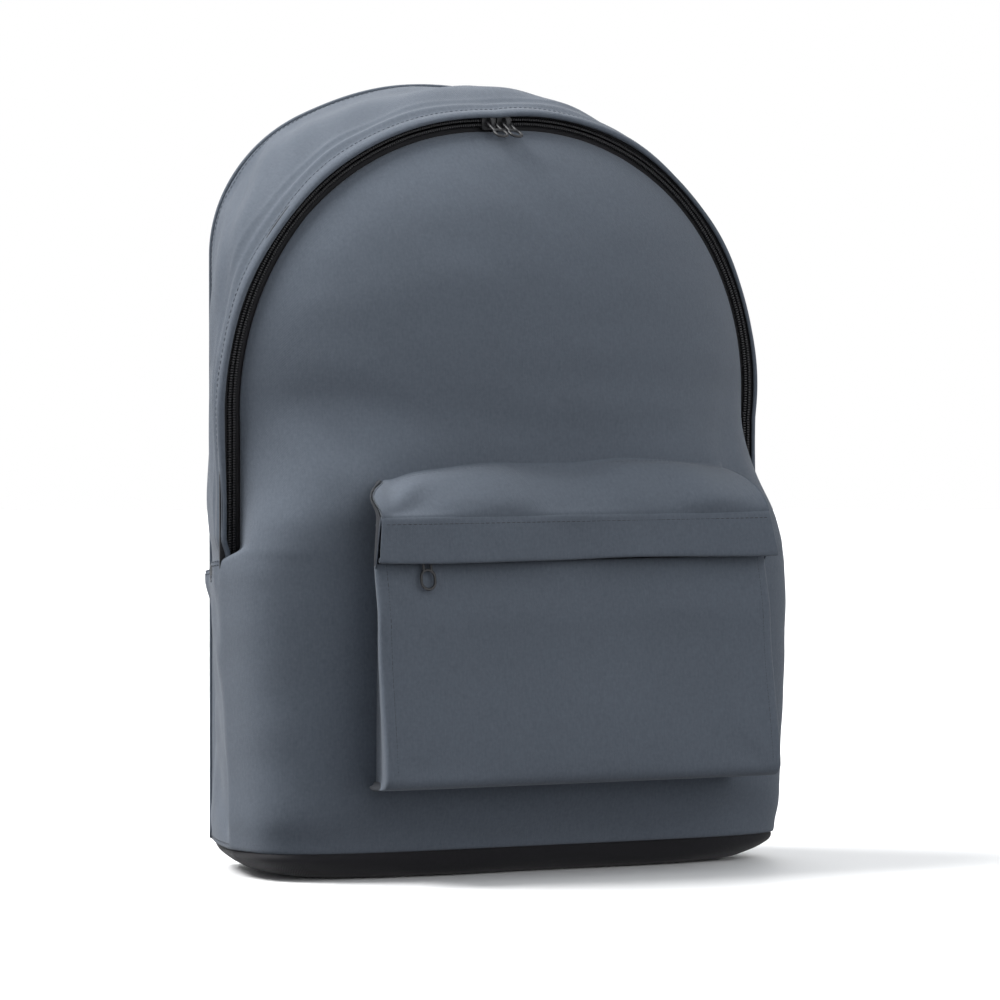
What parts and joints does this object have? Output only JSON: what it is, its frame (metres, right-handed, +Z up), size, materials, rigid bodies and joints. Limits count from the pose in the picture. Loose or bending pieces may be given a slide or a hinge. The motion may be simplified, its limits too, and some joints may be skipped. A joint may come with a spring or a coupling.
{
  "type": "daypack",
  "caption": "Domed fabric daypack with a zipped main compartment, a zipped box pocket on the front, padded shoulder straps with webbing adjusters and a haul loop.",
  "frame": {"origin": "on the floor, on the base panel's flat underside, under the middle of the whole pack", "axes": "+Z up, the front pocket faces -Y, the shoulder straps face +Y, +X to the wearer's right"},
  "size_m": [0.3272, 0.2151, 0.417],
  "materials": {
    "shell": "blue-grey woven polyester, matt with a faint sheen",
    "base": "black woven polyester",
    "mesh": "black spacer mesh",
    "foam": "closed-cell foam",
    "lining": "dark grey lining cloth",
    "webbing": "black woven webbing",
    "zip": "black zip tape",
    "zip_coil": "black nylon coil",
    "slider": "black lacquered metal",
    "buckle": "black acetal"
  },
  "bodies": {
    "pack": {"back_panel": "mesh", "back_foam": "foam", "back_lining": "lining", "back_seam_binding": "webbing", "laptop_sleeve": "lining", "base_panel": "base", "lower_body": "shell", "front_middle": "shell", "top_gusset": "shell", "zip_storm_flap": "shell", "main_zip_outer_tape": "zip", "main_zip_outer_coil": "zip_coil", "zip_lower_ends": "zip", "pocket_wall": "shell", "pocket_bottom": "shell", "pocket_hood": "shell", "pocket_zip_tape": "zip", "pocket_zip_coil": "zip_coil", "strap_yoke": "mesh", "strap_anchor_left": "webbing", "strap_anchor_right": "webbing", "lower_webbing_left": "webbing", "lower_webbing_right": "webbing"},
    "front": {"front_panel": "shell", "main_zip_inner_tape": "zip", "main_zip_inner_coil": "zip_coil"},
    "slider_left": {"main_slider_left": "slider"},
    "slider_right": {"main_slider_right": "slider"},
    "pull_left": {"main_pull_left": "slider"},
    "pull_right": {"main_pull_right": "slider"},
    "pocket_slider": {"pocket_slider": "slider"},
    "pocket_pull": {"pocket_pull": "slider"},
    "strap_left": {"shoulder_strap_left": "mesh", "strap_keeper_left": "webbing"},
    "strap_right": {"shoulder_strap_right": "mesh", "strap_keeper_right": "webbing"},
    "lock_left": {"ladder_lock_left": "buckle"},
    "lock_right": {"ladder_lock_right": "buckle"},
    "haul_loop": {"haul_loop": "webbing"},
    "storm_flap": {"pocket_storm_flap": "shell"}
  },
  "joints": [
    {"name": "main_slider_left", "type": "hinge", "parent": "pack", "child": "slider_left", "pos_m": [0, -0.0065, 0.236], "axis": [0, -1, 0], "range_deg": [0, 88]},
    {"name": "main_slider_right", "type": "hinge", "parent": "pack", "child": "slider_right", "pos_m": [0, -0.0065, 0.236], "axis": [0, 1, 0], "range_deg": [0, 88]},
    {"name": "front_fold", "type": "hinge", "parent": "pack", "child": "front", "pos_m": [0, -0.0725, 0.226], "axis": [1, 0, 0], "range_deg": [0, 75], "deforming": ["front_panel", "main_zip_inner_tape", "main_zip_inner_coil"]},
    {"name": "main_pull_left", "type": "hinge", "parent": "slider_left", "child": "pull_left", "pos_m": [-0.0046, -0.01195, 0.39293], "axis": [0.9996, 0, 0.0293], "range_deg": [-105, 0]},
    {"name": "main_pull_right", "type": "hinge", "parent": "slider_right", "child": "pull_right", "pos_m": [0.0046, -0.01195, 0.39293], "axis": [0.9996, 0, -0.0293], "range_deg": [-105, 0]},
    {"name": "pocket_slider", "type": "slide", "parent": "pack", "child": "pocket_slider", "axis": [1, 0, 0], "range_m": [0, 0.18]},
    {"name": "pocket_pull", "type": "hinge", "parent": "pocket_slider", "child": "pocket_pull", "pos_m": [-0.09, -0.09395, 0.171], "axis": [1, 0, 0], "range_deg": [-10, 0]},
    {"name": "storm_flap", "type": "hinge", "parent": "pack", "child": "storm_flap", "pos_m": [0, -0.0969, 0.188], "axis": [-1, 0, 0], "range_deg": [0, 70]},
    {"name": "shoulder_strap_left", "type": "hinge", "parent": "pack", "child": "strap_left", "pos_m": [-0.064, 0.07634, 0.376], "axis": [1, 0, 0], "range_deg": [0, 16], "deforming": ["lower_webbing_left"]},
    {"name": "ladder_lock_left", "type": "hinge", "parent": "strap_left", "child": "lock_left", "pos_m": [-0.08371, 0.08178, 0.11076], "axis": [0.9781, 0, -0.2079], "range_deg": [-20, 20], "deforming": ["lower_webbing_left"]},
    {"name": "shoulder_strap_right", "type": "hinge", "parent": "pack", "child": "strap_right", "pos_m": [0.064, 0.07634, 0.376], "axis": [1, 0, 0], "range_deg": [0, 16], "deforming": ["lower_webbing_right"]},
    {"name": "ladder_lock_right", "type": "hinge", "parent": "strap_right", "child": "lock_right", "pos_m": [0.08371, 0.08178, 0.11076], "axis": [0.9781, 0, 0.2079], "range_deg": [-20, 20], "deforming": ["lower_webbing_right"]},
    {"name": "haul_loop", "type": "hinge", "parent": "pack", "child": "haul_loop", "pos_m": [0, 0.073, 0.391], "axis": [1, 0, 0], "range_deg": [0, 150]}
  ],
  "couplings": [
    {"joint": "main_slider_right", "follows": "main_slider_left", "ratio": 1},
    {"joint": "front_fold", "follows": "main_slider_left", "ratio": 0.85227}
  ]
}
